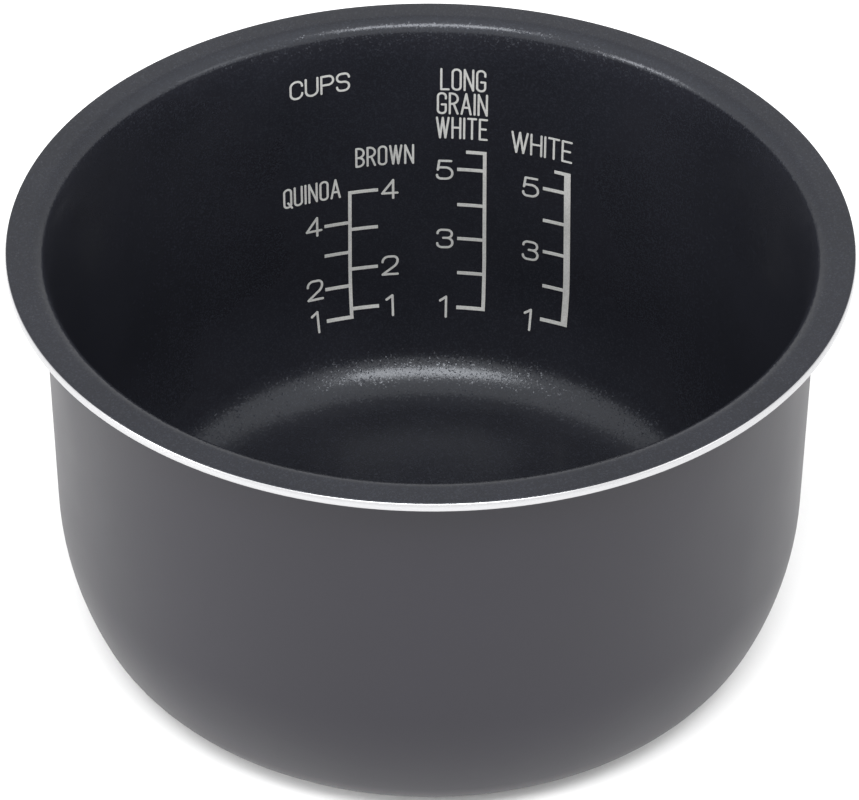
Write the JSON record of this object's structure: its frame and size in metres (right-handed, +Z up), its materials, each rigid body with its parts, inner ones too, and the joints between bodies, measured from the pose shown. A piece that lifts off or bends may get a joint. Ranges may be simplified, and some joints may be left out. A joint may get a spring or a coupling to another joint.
{
  "type": "rice cooker inner pan",
  "caption": "Round flanged cooking pan with a non-stick lining, a charcoal outer coating and printed water level scales, that sits in a rice cooker.",
  "frame": {"origin": "centre of the base, on the surface the pan stands on", "axes": "+Z up along the pan's axis of revolution, +Y towards the printed scales on the inside wall"},
  "size_m": [0.21, 0.21, 0.1158],
  "materials": {
    "bare_aluminium": "machined bare metal with fine turning marks",
    "nonstick_lining": "dark fluoropolymer non-stick with fine mica sparkle",
    "outer_coating": "satin charcoal baked coating",
    "scale_ink": "matt light grey screen-printed ink"
  },
  "bodies": {
    "root": {"pan_shell": "bare_aluminium", "nonstick_lining": "nonstick_lining", "outer_coating": "outer_coating", "quinoa_brown_scale": "scale_ink", "long_grain_scale": "scale_ink", "white_scale": "scale_ink", "quinoa_numerals": "scale_ink", "brown_numerals": "scale_ink", "long_grain_numerals": "scale_ink", "white_numerals": "scale_ink", "cups_label": "scale_ink", "long_grain_label": "scale_ink", "white_label": "scale_ink", "brown_label": "scale_ink", "quinoa_label": "scale_ink"}
  },
  "joints": []
}
